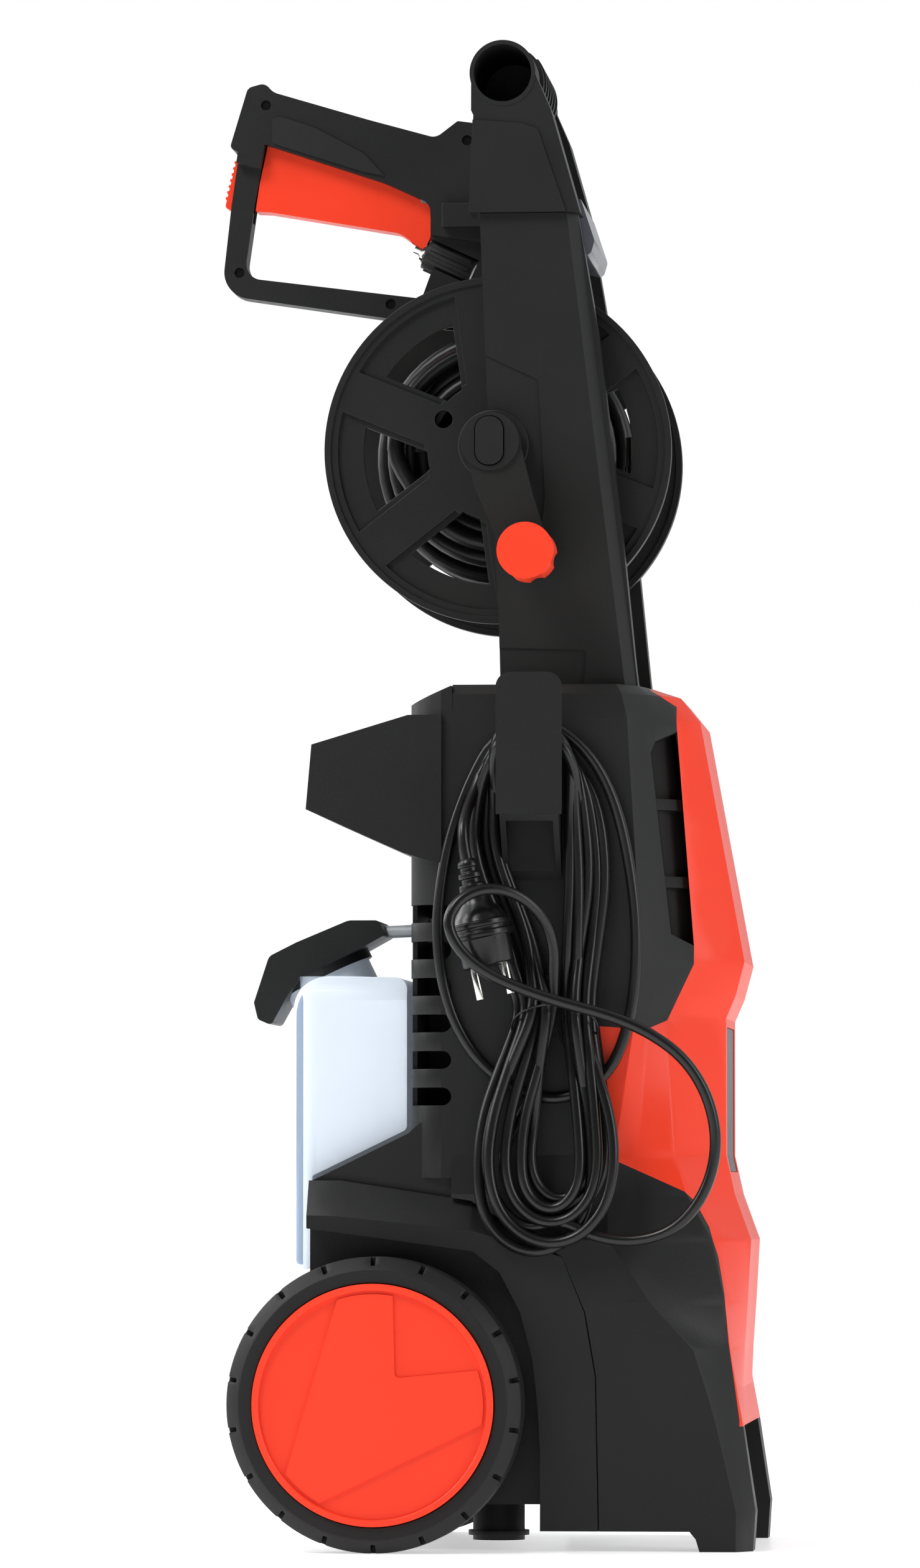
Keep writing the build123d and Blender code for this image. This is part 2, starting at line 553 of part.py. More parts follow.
def gun_lock():
    """Ribbed locking tab at the back of the guard."""
    tab = slab(-6.2, 6.2, [(153, 872), (161.6, 873.5), (169.2, 842, 2), (165, 840), (153, 842)])
    for index in range(7):
        step = index * 3.8
        tab += disc_x(-6.2, 6.2, 162.2 + step * 0.245, 870.5 - step, 1.1)
    return tab - disc_x(-10, 10, LOCK_Y, LOCK_Z, 2.0 + RUN_CLEAR)


def gun_pins():
    """Pivot pins of the trigger and of the locking tab."""
    pins = [disc_x(-12.9, 12.9, TRIGGER_Y, TRIGGER_Z, 2.5), disc_x(-9.4, 9.4, LOCK_Y, LOCK_Z, 2.0)]
    return group(pins)


# Detergent bottle -----------------------------------------------------------------------------
CAP_TILT = math.radians(25.7)
CAP_AXIS = Vector(0, math.sin(CAP_TILT), math.cos(CAP_TILT))
NECK_BASE = Vector(0, 100.2, 347.2)
NECK_R = 28.0


def bottle_front(half, low, high, radius):
    """Prism along Y with rounded upper corners, as wide and as tall as the bottle."""
    corners = [(-half, low), (half, low), (half, high), (-half, high)]
    outline = Plane.XZ * FilletPolyline(*corners, radius=[7, 7, radius, radius], close=True)
    return Pos(0, 130, 0) * extrude(make_face(outline), 100, dir=(0, -1, 0))


def bottle():
    """Detergent bottle: blown shell with a tilted round neck and a foot behind the shelf."""
    outline = [(46, 352, 8), (118, 354, 24), (118, 172, 5), (104.8, 172, 4), (104.8, 229.5, 2)]
    outline += [(95.5, 233.8), (46, 258, 4)]
    plan = FilletPolyline((-88, 40), (88, 40), (88, 118), (-88, 118), radius=[6, 6, 16, 16], close=True)
    body = slab(-88, 88, outline) & (Pos(0, 0, 160) * extrude(make_face(plan), 220))
    body &= bottle_front(88, 160, 354, 16)
    neck = rod(NECK_BASE - CAP_AXIS * 16, NECK_BASE + CAP_AXIS * 18, NECK_R)
    inner = [(48.5, 349.5, 6), (115.5, 351.5, 22), (115.5, 174.5, 3), (107.3, 174.5, 2)]
    inner += [(107.3, 231), (96.2, 236.5), (48.5, 259.8, 3)]
    room = slab(-85.5, 85.5, inner) & bottle_front(85.5, 162.5, 351.5, 14)
    room += rod(NECK_BASE - CAP_AXIS * 6, NECK_BASE + CAP_AXIS * 19, NECK_R - 2.5)
    return body + neck - room


def bottle_cap():
    """Angular cap with a drooping wing; its skirt fits over the neck."""
    wing = [(69, 389.4, 4), (88, 389.4, 10), (121, 375.6, 20), (138, 367, 6), (147.5, 338, 3)]
    wing += [(145, 327.5, 3), (136.6, 323.8, 3), (126, 343), (118, 353), (80, 372), (64.9, 380.4, 2)]
    top = slab(-31, 31, wing)
    skirt = rod(NECK_BASE + CAP_AXIS * 8, NECK_BASE + CAP_AXIS * 26, NECK_R + 2.5)
    well = rod(NECK_BASE - CAP_AXIS * 10, NECK_BASE + CAP_AXIS * 18.3, NECK_R + 0.3)
    return (top + skirt) - well - block((-90, 90), (40, 119), (300, 354.4))


def suction_tube(cap):
    tube = rod((0, 47.8, 383.7), (0, 76, 382.5), 3.9)
    return (tube - cap).solids().sort_by(Axis.Y)[0]


def bottle_port():
    """Grommet in the rear wall that the suction tube plugs against."""
    body = rod((0, 39, 383.7), (0, 43.2, 383.7), 7.9) + rod((0, 43.0, 383.7), (0, 47.6, 383.7), 10.5)
    return body - rod((0, 30, 383.7), (0, 60, 383.7), 2.6)


# Inside the housing ---------------------------------------------------------------------------
def motor():
    case = rod((0, -45, 316), (0, -45, 440), 54)
    for index in range(12):
        fin = Pos(0, -45, 378) * Rot(0, 0, 30 * index) * Pos(55, 0, 0) * Box(6, 2, 100)
        case += fin
    return case + rod((0, -45, 296), (0, -45, 316), 9)


def motor_fan():
    hub = rod((0, -45, 441), (0, -45, 453), 12)
    for index in range(8):
        blade = Pos(0, -45, 447) * Rot(0, 0, 45 * index) * Pos(28, 0, 0) * Rot(30, 0, 0) * Box(36, 2, 10)
        hub += blade
    return hub


def pump_body():
    return rod((0, -45, 250), (0, -45, 295.5), 46) - rod((0, -45, 285), (0, -45, 300), 9.2)


def pump_head():
    head = rod((0, -45, 196), (0, -45, 249.8), 36)
    for angle in (90, 210, 330):
        x, y = 24 * math.cos(math.radians(angle)), 24 * math.sin(math.radians(angle))
        head += rod((x, y - 45, 188), (x, y - 45, 196), 9)
    return head + rod((0, -45, 222), (62, -45, 222), 9)


def switch_box():
    return block((-40, 40), (-86, -18), (470, 506)) - block((-37, 37), (-83, -21), (473, 520))


def capacitor():
    return rod((-76, -30, 330), (-76, -30, 400), 17)


def outlet_pipe():
    """Pressure pipe from the pump head up to the deck, under the reel's uprights."""
    points = [(62, -45, 222), (90, -45, 222), (90, -45, 300), (90, -5, 360), (90, -5, 500)]
    path = FilletPolyline(*points, radius=[14, 14, 14])
    start = Plane(origin=path @ 0, z_dir=path % 0)
    return sweep(start * Circle(5.5), path=path)


def water_inlet():
    """Hose connector under the floor, in front of the crank-side wheel."""
    body = rod((-70, -9.6, 5), (-70, -9.6, 27.8), 16) + rod((-70, -9.6, 8), (-70, -9.6, 11), 18.8)
    return body - rod((-70, -9.6, 0), (-70, -9.6, 24), 9.5)


def power_switch():
    knob = rod((0, -58, 532.2), (0, -58, 546), 17) - block((-20, -3.5), (-90, -20), (536, 550))
    knob -= block((3.5, 20), (-90, -20), (536, 550))
    return knob + rod((0, -58, 514), (0, -58, 532.2), 5.0 - RUN_CLEAR)


# Mains cord -----------------------------------------------------------------------------------
PLUG_TOP = Vector(-147.5, 4.0, 422.6)
PLUG_AXIS = Vector(0, -0.208, -0.978).normalized()
GLAND_X, GLAND_Y, GLAND_Z = -118.0, -40.0, 308.0
HANK_OUTLINE = [(-33, 512, 30), (-85, 476, 30), (-95, 377, 60), (-92, 305, 60), (-86, 244, 40)]
HANK_OUTLINE += [(-76, 204, 20), (-42, 184, 20), (-11, 201, 20), (0, 244, 40)]
HANK_OUTLINE += [(7, 305, 60), (21, 377, 50), (14, 453, 40)]
HANK_OUTLINE += [(-10, 503, 20)]
LOOP_ROUTE = [(-137, -52, 203), (-138, -72, 192), (-139, -98, 188.5), (-140, -123, 196), (-141, -141, 217)]
LOOP_ROUTE += [(-142, -149, 245), (-144, -145, 274), (-146, -131, 299), (-149, -109, 316), (-152, -83, 327)]
LOOP_ROUTE += [(-158, -56, 334), (-164, -29, 343), (-169.5, -6, 354), (-171.5, 9, 369), (-171, 14.5, 385)]
LOOP_ROUTE += [(-168, 5.5, 399), (-163, -12, 405), (-156, -30, 400), (-147, -44, 386), (-136, -49, 369)]
END_ROUTE = [(-120, -3, 478), (-127, 2, 463), (-138, 5.5, 451), PLUG_TOP - PLUG_AXIS * 15, PLUG_TOP]


def cord_tube(points):
    """Tube along straight runs joined by arcs; prints its bend radii and checks its volume."""
    points = [Vector(*point) for point in points]
    radii = []
    for before, corner, after in zip(points, points[1:], points[2:]):
        run_in, run_out = corner - before, after - corner
        turn = math.radians(run_in.get_angle(run_out))
        radii.append(0.45 * min(run_in.length, run_out.length) / math.tan(turn / 2))
    path = FilletPolyline(*points, radius=radii)
    tube = sweep(Plane(origin=path @ 0, z_dir=path % 0) * Circle(CORD_D / 2), path=path)
    ideal = math.pi * (CORD_D / 2) ** 2 * path.length
    print("radii", [round(radius) for radius in radii], "length", round(path.length),
          "volume ratio", round(tube.volume / ideal, 3))
    return tube


def cord_hank():
    """Outer shape of the hanging hank, with the hook's arm through its top."""
    upper = slab(-141, -113.4, HANK_OUTLINE) - block((-200, 0), (-200, 200), (0, 250))
    lower = slab(-145.5, -129.6, HANK_OUTLINE) - block((-200, 0), (-200, 200), (262, 600))
    shape = upper + lower
    shape -= block((-200, 0), (-54, -14), (396, 488.5))
    shape -= block((-200, -128.2), (-33, 60), (325, 480))
    shape -= block((-125, -100), (-48, -32), (302, 356))
    return shape


def cord_gland():
    """Boss on the side wall with a tapered sleeve that points down."""
    boss = block((GLAND_X - 5.5, -SIDE - 0.05), (GLAND_Y - 7, GLAND_Y + 7), (336, 352))
    sleeve = Pos(GLAND_X, GLAND_Y, GLAND_Z + 14) * Cone(4.0, 5.4, 28)
    return boss + sleeve


def cord_plug():
    """Round earthed plug with a flexible neck, pins down."""
    def along(start, end, radius):
        return rod(PLUG_TOP + PLUG_AXIS * start, PLUG_TOP + PLUG_AXIS * end, radius)
    neck = Plane(origin=PLUG_TOP + PLUG_AXIS * 12, z_dir=PLUG_AXIS) * Cone(4.6, 8.0, 24)
    body = along(23, 36, 9.5) + along(34, 67, 18.7)
    return neck + body


def plug_pins():
    pins = []
    for side in (-1, 1):
        offset = Vector(0, 0.978, -0.208).normalized() * (side * PIN_SPACING / 2)
        start = PLUG_TOP + PLUG_AXIS * 67 + offset
        pins.append(rod(start, start + PLUG_AXIS * PIN_LENGTH, PIN_R))
    return group(pins)


# Nodes ----------------------------------------------------------------------------------------
def build():
    skin = front_skin()
    cap = bottle_cap()
    nodes = {}
    for make in (fender, upright, tyre, rim, wheel_cover):
        nodes[make.__name__ + "_left"] = make()
        nodes[make.__name__ + "_right"] = mirror(make(), about=Plane.YZ)
    single = [rear_housing, front_badge, vent_grilles, handle_top, grip_insert, cross_bar, gun_cradle]
    single += [reel_bushes, cord_hook, accessory_pocket, axle, reel_drum, reel_hose]
    single += [hose_fitting, crank_arm, crank_insert, crank_knob, gun_grip_inserts, gun_screws, gun_barrel]
    single += [gun_collar, gun_nipple, gun_trigger, gun_pins, gun_lock, bottle, bottle_port]
    single += [motor, motor_fan, pump_body, pump_head, switch_box, capacitor, outlet_pipe, water_inlet]
    single += [power_switch, cord_hank, cord_gland, cord_plug, plug_pins]
    for make in single:
        nodes[make.__name__] = make()
    nodes["front_housing"] = front_housing(skin)
    nodes["front_cover"] = front_cover(skin)
    nodes["reel_flange_left"], nodes["reel_flange_right"] = reel_flange(-1), reel_flange(1)
    nodes["gun_shell_left"], nodes["gun_shell_right"] = gun_shell(-1), gun_shell(1)
    nodes["bottle_cap"], nodes["suction_tube"] = cap, suction_tube(cap)
    nodes["cord_loop"], nodes["cord_end"] = cord_tube(LOOP_ROUTE), cord_tube(END_ROUTE)
    return nodes


os.makedirs("parts", exist_ok=True)
for node, solid in build().items():
    export_step(solid, f"parts/{node}.step")
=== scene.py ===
import json
import math

import bmesh
import bpy
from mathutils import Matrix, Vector


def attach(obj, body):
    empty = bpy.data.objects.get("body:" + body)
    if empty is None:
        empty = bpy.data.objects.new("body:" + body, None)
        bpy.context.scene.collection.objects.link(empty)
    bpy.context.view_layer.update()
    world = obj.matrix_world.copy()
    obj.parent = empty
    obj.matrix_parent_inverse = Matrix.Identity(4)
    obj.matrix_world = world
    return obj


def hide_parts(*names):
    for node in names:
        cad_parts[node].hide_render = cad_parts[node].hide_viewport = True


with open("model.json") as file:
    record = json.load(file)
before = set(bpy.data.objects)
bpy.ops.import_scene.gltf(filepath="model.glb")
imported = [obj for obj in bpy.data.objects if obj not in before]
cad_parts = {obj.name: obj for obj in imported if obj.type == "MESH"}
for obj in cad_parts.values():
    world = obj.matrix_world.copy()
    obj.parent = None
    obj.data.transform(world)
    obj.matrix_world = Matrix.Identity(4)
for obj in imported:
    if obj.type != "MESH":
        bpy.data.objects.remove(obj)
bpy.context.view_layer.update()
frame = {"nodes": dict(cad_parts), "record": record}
MM = 0.001
MOTTLE = 16.7                # noise scale of the broad unevenness, about 60 mm across
BUMP_DEPTH = 0.0002


# Camera and room ------------------------------------------------------------------------------
def make_camera():
    """Long lens at the crank side, low and a little towards the front cover."""
    cam = bpy.data.objects.new("camera", bpy.data.cameras.new("camera"))
    bpy.context.collection.objects.link(cam)
    look = Vector((0.99509, 0.08443, 0.05167))
    cam.location = (-5.0707, -0.4097, 0.2129)
    cam.rotation_mode = "QUATERNION"
    cam.rotation_quaternion = look.to_track_quat("-Z", "Y")
    cam.data.sensor_width = 36
    cam.data.lens = 185.7
    cam.data.clip_end = 60
    bpy.context.scene.camera = cam


def make_world():
    """White to the camera; for light, bright behind the object and dim behind the camera."""
    world = bpy.data.worlds.new("studio")
    bpy.context.scene.world = world
    world.use_nodes = True
    nodes, links = world.node_tree.nodes, world.node_tree.links
    nodes.clear()
    out = nodes.new("ShaderNodeOutputWorld")
    white, soft = nodes.new("ShaderNodeBackground"), nodes.new("ShaderNodeBackground")
    mix, path = nodes.new("ShaderNodeMixShader"), nodes.new("ShaderNodeLightPath")
    where, split = nodes.new("ShaderNodeTexCoord"), nodes.new("ShaderNodeSeparateXYZ")
    ramp = nodes.new("ShaderNodeMapRange")
    white.inputs["Color"].default_value = (1, 1, 1, 1)
    soft.inputs["Color"].default_value = (0.97, 0.98, 1.0, 1)
    ramp.inputs["From Min"].default_value = -0.75
    ramp.inputs["From Max"].default_value = 0.25
    ramp.inputs["To Min"].default_value = 0.045
    ramp.inputs["To Max"].default_value = 0.70
    links.new(where.outputs["Generated"], split.inputs[0])
    links.new(split.outputs["X"], ramp.inputs["Value"])
    links.new(ramp.outputs[0], soft.inputs["Strength"])
    links.new(path.outputs["Is Camera Ray"], mix.inputs[0])
    links.new(soft.outputs[0], mix.inputs[1])
    links.new(white.outputs[0], mix.inputs[2])
    links.new(mix.outputs[0], out.inputs[0])


def make_light(name, place, aim, size, power):
    """White area light at a place, turned to its aim."""
    light = bpy.data.lights.new(name, "AREA")
    light.shape = "RECTANGLE"
    light.size, light.size_y = size
    light.energy = power
    obj = bpy.data.objects.new(name, light)
    bpy.context.collection.objects.link(obj)
    obj.location = place
    obj.rotation_mode = "QUATERNION"
    obj.rotation_quaternion = (Vector(aim) - Vector(place)).to_track_quat("-Z", "Y")


def make_floor():
    """Plain white floor, large enough to reach past the view."""
    mesh = bpy.data.meshes.new("floor")
    half = 14
    corners = [(-half, -half, 0), (half, -half, 0), (half, half, 0), (-half, half, 0)]
    mesh.from_pydata(corners, [], [(0, 1, 2, 3)])
    floor = bpy.data.objects.new("floor", mesh)
    bpy.context.collection.objects.link(floor)
    white = plain("floor_white", (0.93, 0.93, 0.935), 0.3, grain=0.0, shade=0.01)
    shader = white.node_tree.nodes["Principled BSDF"]
    shader.inputs["Emission Color"].default_value = (1, 1, 1, 1)
    shader.inputs["Emission Strength"].default_value = 0.5
    floor.data.materials.append(white)


# Materials ------------------------------------------------------------------------------------
def plain(name, colour, rough, grain=0.25, grain_mm=0.45, shade=0.12, metal=0.0, shine=0.3):
    """Moulded or machined surface: uneven colour and gloss, with a fine grain in relief."""
    mat = bpy.data.materials.new(name)
    mat.use_nodes = True
    nodes, links = mat.node_tree.nodes, mat.node_tree.links
    shader = nodes["Principled BSDF"]
    shader.inputs["Metallic"].default_value = metal
    shader.inputs["Specular IOR Level"].default_value = 0.5 if metal else shine
    where = nodes.new("ShaderNodeTexCoord")
    broad = nodes.new("ShaderNodeTexNoise")
    broad.inputs["Scale"].default_value = MOTTLE
    broad.inputs["Detail"].default_value = 5.0
    links.new(where.outputs["Object"], broad.inputs["Vector"])
    tint = nodes.new("ShaderNodeMix")
    tint.data_type = "RGBA"
    tint.inputs["A"].default_value = (*[c * (1 - shade) for c in colour], 1)
    tint.inputs["B"].default_value = (*[min(1, c * (1 + shade)) for c in colour], 1)
    links.new(broad.outputs["Fac"], tint.inputs["Factor"])
    links.new(tint.outputs["Result"], shader.inputs["Base Color"])
    gloss = nodes.new("ShaderNodeMapRange")
    gloss.inputs["To Min"].default_value = max(0.02, rough - 0.07)
    gloss.inputs["To Max"].default_value = min(1.0, rough + 0.07)
    links.new(broad.outputs["Fac"], gloss.inputs["Value"])
    links.new(gloss.outputs[0], shader.inputs["Roughness"])
    if grain:
        fine = nodes.new("ShaderNodeTexNoise")
        fine.inputs["Scale"].default_value = 1000.0 / grain_mm
        fine.inputs["Detail"].default_value = 2.0
        links.new(where.outputs["Object"], fine.inputs["Vector"])
        bump = nodes.new("ShaderNodeBump")
        bump.inputs["Strength"].default_value = grain
        bump.inputs["Distance"].default_value = BUMP_DEPTH
        links.new(fine.outputs["Fac"], bump.inputs["Height"])
        links.new(bump.outputs[0], shader.inputs["Normal"])
    return mat


def milky(name, colour, rough, through, painted_backlight=0.0):
    """Translucent blow-moulded plastic, with an optional faint emission that is painted light standing in
    for backlight shining through it.
    """
    mat = plain(name, colour, rough, grain=0.12, grain_mm=1.2, shade=0.03)
    shader = mat.node_tree.nodes["Principled BSDF"]
    shader.inputs["Transmission Weight"].default_value = through
    shader.inputs["Subsurface Weight"].default_value = 0.35
    shader.inputs["Subsurface Radius"].default_value = (0.8, 0.9, 1.0)
    shader.inputs["Subsurface Scale"].default_value = 0.012
    # Painted light: the bluish emission stands in for backdrop light shining through the thin plastic; the
    # part is no lamp.
    shader.inputs["Emission Color"].default_value = (0.86, 0.93, 1.0, 1)
    shader.inputs["Emission Strength"].default_value = painted_backlight
    return mat


def make_materials():
    black, deep = (0.0090, 0.0096, 0.0090), (0.006, 0.006, 0.006)
    orange = (0.88, 0.048, 0.016)
    return {
        "housing_black": plain("housing_black", black, 0.47, grain=0.35, grain_mm=0.6),
        "vent_black": plain("vent_black", deep, 0.6, grain=0.2),
        "cover_orange": plain("cover_orange", orange, 0.36, grain=0.14, grain_mm=0.5, shade=0.05),
        "badge_grey": plain("badge_grey", (0.022, 0.024, 0.032), 0.3, grain=0.05, shine=0.15),
        "bar_grey": plain("bar_grey", (0.115, 0.118, 0.135), 0.22, grain=0.1),
        "tyre_rubber": plain("tyre_rubber", (0.0095, 0.0095, 0.0095), 0.55, grain=0.4, grain_mm=0.9),
        "grip_rubber": plain("grip_rubber", (0.0105, 0.011, 0.0105), 0.55, grain=0.5, grain_mm=0.8),
        "steel": plain("steel", (0.45, 0.45, 0.46), 0.35, metal=1.0, grain=0.1),
        "dark_steel": plain("dark_steel", (0.014, 0.014, 0.014), 0.5, metal=1.0, grain=0.1),
        "chrome": plain("chrome", (0.78, 0.77, 0.72), 0.16, metal=1.0, grain=0.05),
        "aluminium": plain("aluminium", (0.5, 0.5, 0.52), 0.4, metal=1.0, grain=0.3, grain_mm=1.0),
        "brass": plain("brass", (0.6, 0.45, 0.2), 0.3, metal=1.0, grain=0.1),
        # The bottle's faint emission is a painted glow for the backlight through its walls.
        "bottle_plastic": milky("bottle_plastic", (0.74, 0.83, 0.96), 0.42, 0.0, painted_backlight=0.08),
        "tube_clear": milky("tube_clear", (0.75, 0.78, 0.8), 0.2, 0.5),
        "hose_rubber": plain("hose_rubber", (0.006, 0.006, 0.0063), 0.36, grain=0.2, grain_mm=0.7),
        "cord_rubber": plain("cord_rubber", (0.0055, 0.0057, 0.0055), 0.3, grain=0.15, grain_mm=0.6,
                             shine=0.4),
    }


def mesh_piece(name, bm, material, body):
    """A finished mesh as a piece that rides on a body."""
    mesh = bpy.data.meshes.new(name)
    bm.to_mesh(mesh)
    bm.free()
    for face in mesh.polygons:
        face.use_smooth = True
    obj = bpy.data.objects.new(name, mesh)
    bpy.context.collection.objects.link(obj)
    mesh.materials.append(material)
    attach(obj, body)
    return obj


# Cord -----------------------------------------------------------------------------------------
CORD_D = 7.0
LOOP_ROUTE = [(-137, -52, 203), (-138, -72, 192), (-139, -98, 188.5), (-140, -123, 196), (-141, -141, 217)]
LOOP_ROUTE += [(-142, -149, 245), (-144, -145, 274), (-146, -131, 299), (-149, -109, 316), (-152, -83, 327)]
LOOP_ROUTE += [(-158, -56, 334), (-164, -29, 343), (-169.5, -6, 354), (-171.5, 9, 369), (-171, 14.5, 385)]
LOOP_ROUTE += [(-168, 5.5, 399), (-163, -12, 405), (-156, -30, 400), (-147, -44, 386), (-136, -49, 369)]
PLUG_TOP = Vector((-147.5, 4.0, 422.6))
PLUG_AXIS = Vector((0, -0.208, -0.978)).normalized()
END_ROUTE = [(-120, -3, 478), (-127, 2, 463), (-138, 5.5, 451), PLUG_TOP - PLUG_AXIS * 15, PLUG_TOP]
# One row for each turn of the hank: left column at two heights, left strand at the tie (y, x).
LEFT = [None, (11, -9, -28, -118.5), (3, -17, -33, -129), (-4.5, -24, -40.5, -129), (-10.5, -31, -37, -136),
        (-46, -47, -48, -129), (-12.5, -33, -45, -136)]
# Left end, lowest z, right end and x of each turn's bottom.
BOTTOM = [(-15, 205, -80, -130), (-1, 184, -72, -134), (-8, 189, -86, -141), (-18, 202, -76, -138),
          (-6, 196, -80, -135), (-28, 211, -65, -137), (-33, 217, -71, -131)]
# Right strand at the tie (y, x), right column at two heights.
RIGHT = [(-69, -118.5, -80, -75), (-57.5, -125.5, -70, -66), (-61.5, -118.5, -63.5, -60.5),
         (-66, -125.5, -75, -70), None, (-54, -118.5, -58, -57.5), (-60, -133, -67, -63)]
TOPS = [(497, -117), (498, -124), (498, -131), (505, -121), (506, -128), (505, -135), (499, -139)]
LOOSE_LOOP = [(-118, -12, 502), (-117, 6, 470), (-117, 20, 428), (-117, 26, 378), (-117, 19, 334)]
LOOSE_LOOP += [(-117, 3, 303), (-116.5, -20, 283), (-116.5, -50, 274), (-116.5, -80, 288), (-117, -95, 325)]
LOOSE_LOOP += [(-118, -99, 372), (-119, -95, 416), (-120, -86, 458), (-122, -70, 489), (-126, -46, 507)]


def strand_down(index):
    """Left side of a turn, from the hook's arm through the tie to the lower end."""
    column, middle, tie_y, tie_x = LEFT[index]
    end, low, _, x = BOTTOM[index]
    top, top_x = TOPS[index]
    inner = -118 - 3 * (index % 3)
    return [(top_x, -24, top), (top_x, -11, top - 8), (inner, column * 0.7 - 3, 462), (inner, column, 427),
            (inner, middle, 378), ((inner + tie_x) / 2, (middle + tie_y) / 2, 352), (tie_x, tie_y, 331),
            ((tie_x + x) / 2, tie_y + 0.45 * (end - tie_y), 298), (x + 3, end - 3, 264)]


def bottom(index):
    """Round lower end of a turn."""
    left, low, right, x = BOTTOM[index]
    middle, half = (left + right) / 2, (left - right) / 2
    centre = low + half + 4
    points = []
    for step in range(6):
        angle = math.radians(step * 36)
        points.append((x, middle + half * math.cos(angle), centre - (centre - low + 3) * math.sin(angle)))
    return points


def strand_up(index):
    """Right side of a turn, from the lower end through the tie and up to the hook's arm."""
    tie_y, tie_x, column, high = RIGHT[index]
    _, low, end, x = BOTTOM[index]
    top, top_x = TOPS[index]
    inner = -118 - 3 * (index % 3)
    return [(x + 3, end + 2, 264), ((tie_x + x) / 2, tie_y + 0.45 * (end - tie_y), 298), (tie_x, tie_y, 331),
            (inner, (tie_y + column) / 2, 372), (inner, column, 413), (inner, high, 458),
            (top_x, -60, 485), (top_x, -47, top)]


def cord_points():
    """Whole route of the mains cord, from the sleeve on the side wall to the plug."""
    route = [(-118, -40, 308), (-118.5, -39, 290), (-122, -30, 270)]
    route += bottom(0) + strand_up(0)
    for index in (1, 2, 6, 3):
        route += strand_down(index) + bottom(index) + strand_up(index)
    route += LOOSE_LOOP + strand_down(4) + bottom(4)[:3]
    route += LOOP_ROUTE + [(-130, -48, 350), (-129, -48, 331), (-133, -40, 298), (-135, -30, 264)]
    route += bottom(5) + strand_up(5) + [(-126, -18, 503)] + END_ROUTE
    return [Vector(point) * MM for point in route]


def make_tie(materials):
    """Thin wire tie round the waist of the hank, its ends twisted together in front."""
    curve = bpy.data.curves.new("cord_tie", "CURVE")
    curve.dimensions = "3D"
    spline = curve.splines.new("NURBS")
    points = []
    for step in range(15):
        angle = math.radians(100 + step * 340 / 14)
        out, across = math.sin(angle), math.cos(angle)
        points.append((-127.5 + 14.5 * out, -48.5 - 27 * across, 320 - 14 * out))
    for step in range(14):
        angle = math.radians(step * 120)
        out, rise = 0.6 * math.cos(angle), 0.6 * math.sin(angle)
        points.append((-143.5 - step * 0.2 + out, -44 - step * 1.1, 335 + rise))
    spline.points.add(len(points) - 1)
    for point, place in zip(spline.points, points):
        point.co = (*(Vector(place) * MM), 1)
    spline.order_u = 3
    spline.use_endpoint_u = True
    spline.resolution_u = 4
    curve.bevel_depth = 0.7 * MM
    curve.bevel_resolution = 3
    curve.use_fill_caps = True
    tie = bpy.data.objects.new("cord_tie", curve)
    bpy.context.collection.objects.link(tie)
    curve.materials.append(materials["cord_rubber"])
    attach(tie, "root")
    return tie


# The plug's outline from the cord's end on: distance along its axis, and radius there.
PLUG_PROFILE = [(0, 0), (0, 4.4), (2, 6.0), (5, 6.4), (5.6, 5.2), (8.4, 5.4), (9, 7.2), (12, 7.4)]
PLUG_PROFILE += [(12.6, 5.8)]
PLUG_PROFILE += [(15.4, 6.0), (16, 8.2), (20, 8.6), (21, 7.6), (25, 8.2), (29, 10.6), (33, 14.0), (37, 16.2)]
PLUG_PROFILE += [(39, 16.8), (39.6, 18.4), (42.6, 18.4), (43.2, 17.2), (45.4, 17.2), (46, 18.6), (49, 18.6)]
PLUG_PROFILE += [(50, 17.4), (65.4, 16.8), (66.6, 15.8), (67, 14.6), (67, 0)]


# Four flats on the plug's body: where they start, their half width, and how far round they reach.
FLAT_FROM, FLAT_HALF, FLAT_WIDE = 49.5, 15.6, 0.86


def make_plug(materials):
    """Round moulded plug: ribbed neck, shoulder, two collars and a body with flats."""
    bm = bmesh.new()
    side = Vector((1, 0, 0))
    across = PLUG_AXIS.cross(side)
    segments = 56
    rings = []
    for along, radius in PLUG_PROFILE:
        ring = []
        for index in range(segments):
            angle = 2 * math.pi * index / segments
            reach = radius
            if along > FLAT_FROM:
                wide = max(abs(math.cos(angle)), abs(math.sin(angle)))
                reach = min(radius, FLAT_HALF / wide if wide > FLAT_WIDE else radius)
            spot = PLUG_TOP + PLUG_AXIS * along + (side * math.cos(angle) + across * math.sin(angle)) * reach
            ring.append(bm.verts.new(spot * MM))
            if radius == 0:
                break
        rings.append(ring)
    for low, high in zip(rings, rings[1:]):
        for index in range(segments):
            after = (index + 1) % segments
            lower = [low[index % len(low)], low[after % len(low)]]
            upper = [high[after % len(high)], high[index % len(high)]]
            bm.faces.new(list(dict.fromkeys(lower + upper)))
    bmesh.ops.recalc_face_normals(bm, faces=bm.faces)
    plug = mesh_piece("plug_body", bm, materials["cord_rubber"], "root")
    bevel = plug.modifiers.new("soften", "BEVEL")
    bevel.width = 0.35 * MM
    bevel.segments = 2
    bevel.limit_method = "ANGLE"
    bevel.angle_limit = math.radians(40)
    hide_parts("cord_plug")
    return plug


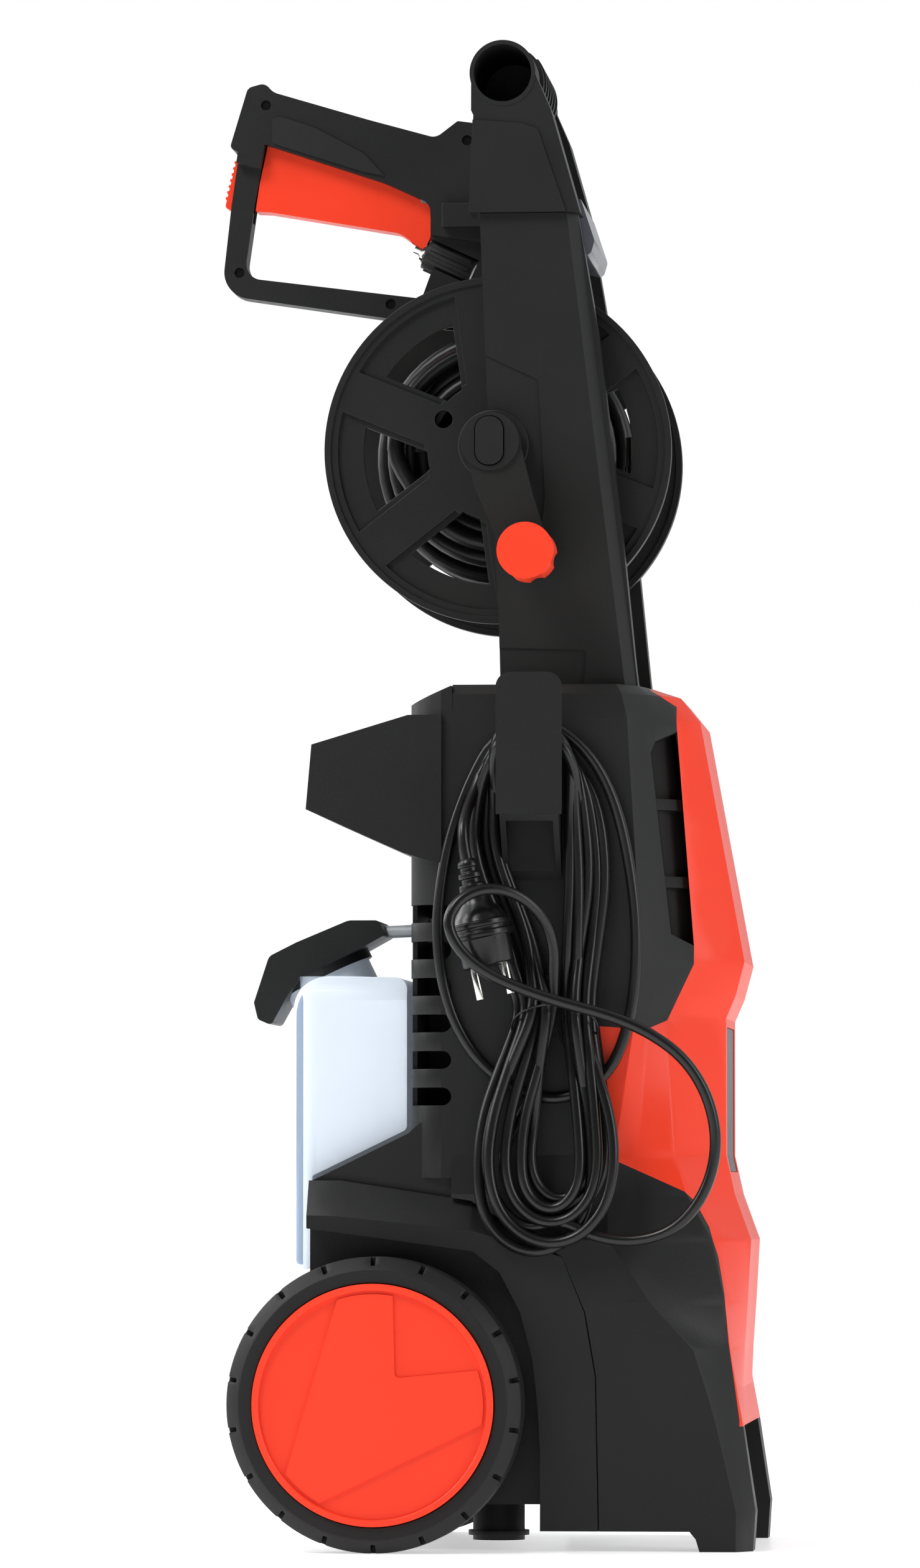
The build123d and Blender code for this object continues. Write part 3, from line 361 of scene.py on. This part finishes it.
def make_cord(materials):
    """Mains cord as one open curve, with its plug and tie."""
    curve = bpy.data.curves.new("mains_cord", "CURVE")
    curve.dimensions = "3D"
    points = cord_points()
    spline = curve.splines.new("NURBS")
    spline.points.add(len(points) - 1)
    for point, place in zip(spline.points, points):
        point.co = (*place, 1)
    spline.order_u = 3
    spline.use_endpoint_u = True
    spline.resolution_u = 6
    curve.bevel_depth = CORD_D / 2 * MM
    curve.bevel_resolution = 5
    curve.use_fill_caps = True
    cord = bpy.data.objects.new("mains_cord", curve)
    bpy.context.collection.objects.link(cord)
    curve.materials.append(materials["cord_rubber"])
    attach(cord, "root")
    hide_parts("cord_hank", "cord_loop", "cord_end")
    make_plug(materials)
    make_tie(materials)


# Wound hose -----------------------------------------------------------------------------------
REEL = Vector((0, -8.3, 681.3))
HOSE_D = 10.5


def make_reel_hose(materials):
    """High-pressure hose wound on the drum in layers, as one long helix."""
    curve = bpy.data.curves.new("wound_hose", "CURVE")
    curve.dimensions = "3D"
    points = []
    pitch = HOSE_D + 0.5
    per_turn = 16
    for layer, (start, end) in enumerate(((-44, 44), (44, -44), (-44, 44), (44, -16))):
        radius = 44 + HOSE_D / 2 + 0.3 + layer * (HOSE_D - 1.4)
        turns = round(abs(end - start) / pitch)
        for step in range(turns * per_turn):
            angle = 2 * math.pi * step / per_turn
            x = start + (end - start) * step / (turns * per_turn)
            points.append((x, REEL.y + radius * math.cos(angle), REEL.z + radius * math.sin(angle)))
    spline = curve.splines.new("NURBS")
    spline.points.add(len(points) - 1)
    for point, place in zip(spline.points, points):
        point.co = (*(Vector(place) * MM), 1)
    spline.order_u = 3
    spline.use_endpoint_u = True
    spline.resolution_u = 3
    curve.bevel_depth = HOSE_D / 2 * MM
    curve.bevel_resolution = 4
    curve.use_fill_caps = True
    hose = bpy.data.objects.new("wound_hose", curve)
    bpy.context.collection.objects.link(hose)
    curve.materials.append(materials["hose_rubber"])
    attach(hose, "reel")
    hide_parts("reel_hose")


# Joint seals ----------------------------------------------------------------------------------
# y and z along the joint behind each wheel arch, and how wide it is open there.
JOINT = [(-59.5, 162.6, 0.4), (-66.4, 145.5, 0.8), (-72.9, 106.8, 0.8), (-74.7, 12.3, 0.8)]


def make_joint_seals(materials):
    """Seals sunk in the joints between the wheel arches and the front housing."""
    for side, name in ((-1, "joint_seal_left"), (1, "joint_seal_right")):
        bm = bmesh.new()
        rows = []
        for y, z, gap in JOINT:
            corners = [(126, y - 0.03), (120, y - 0.03), (120, y - gap + 0.03), (126, y - gap + 0.03)]
            rows.append([bm.verts.new(Vector((side * x, across, z)) * MM) for x, across in corners])
        for upper, lower in zip(rows, rows[1:]):
            for index in range(4):
                after = (index + 1) % 4
                bm.faces.new([upper[index], upper[after], lower[after], lower[index]])
        bm.faces.new(rows[0])
        bm.faces.new(rows[-1][::-1])
        bmesh.ops.recalc_face_normals(bm, faces=bm.faces)
        mesh_piece(name, bm, materials["grip_rubber"], "root")


# CAD nodes ------------------------------------------------------------------------------------
# Width in mm of the softened edges, by node or by the start of a node's name.
BEVELS = {"front_housing": 1.6, "rear_housing": 1.6, "front_cover": 1.2, "upright": 1.5,
          "handle_top": 1.6, "gun_shell": 2.4, "bottle": 3.0, "bottle_cap": 2.6, "crank_knob": 1.6,
          "crank_arm": 1.6, "accessory": 2.2, "gun_trigger": 2.0, "wheel_cover": 0.9,
          "reel_flange": 1.3, "crank_insert": 0.8, "fender": 1.0, "cord_hook": 1.2}


EDGE_WIDTH = 0.7             # softened edge of every other node
WELD_WITHIN = 0.00002


def dress_nodes(materials):
    """Materials and softened edges for the nodes that stay as the CAD made them."""
    slots = {part["node"]: part["material_slot"] for part in frame["record"]["subparts"]}
    for name, obj in frame["nodes"].items():
        obj.data.materials.clear()
        obj.data.materials.append(materials["dark_steel" if name == "gun_screws" else slots[name]])
        family = next((wide for key, wide in BEVELS.items() if name.startswith(key)), EDGE_WIDTH)
        width = BEVELS.get(name, family)
        weld = obj.modifiers.new("weld", "WELD")
        weld.merge_threshold = WELD_WITHIN
        bevel = obj.modifiers.new("soften", "BEVEL")
        bevel.width = width * MM
        bevel.segments = 2
        bevel.limit_method = "ANGLE"
        bevel.angle_limit = math.radians(32)


make_camera()
make_world()
materials = make_materials()
make_cord(materials)
make_floor()
make_light("key", (-1.9, 1.5, 3.0), (0, 0, 0.5), (1.3, 1.3), 66)
make_light("front", (-1.4, -2.9, 1.4), (0, 0, 0.5), (1.2, 2.0), 34)
make_light("rim", (1.2, 2.4, 1.8), (0, 0, 0.6), (1.5, 2.0), 38)
make_light("edge", (-0.7, 2.7, 1.9), (0, 0, 0.6), (0.7, 1.6), 34)
make_reel_hose(materials)
make_joint_seals(materials)
dress_nodes(materials)

bpy.context.scene.view_settings.view_transform = "Standard"
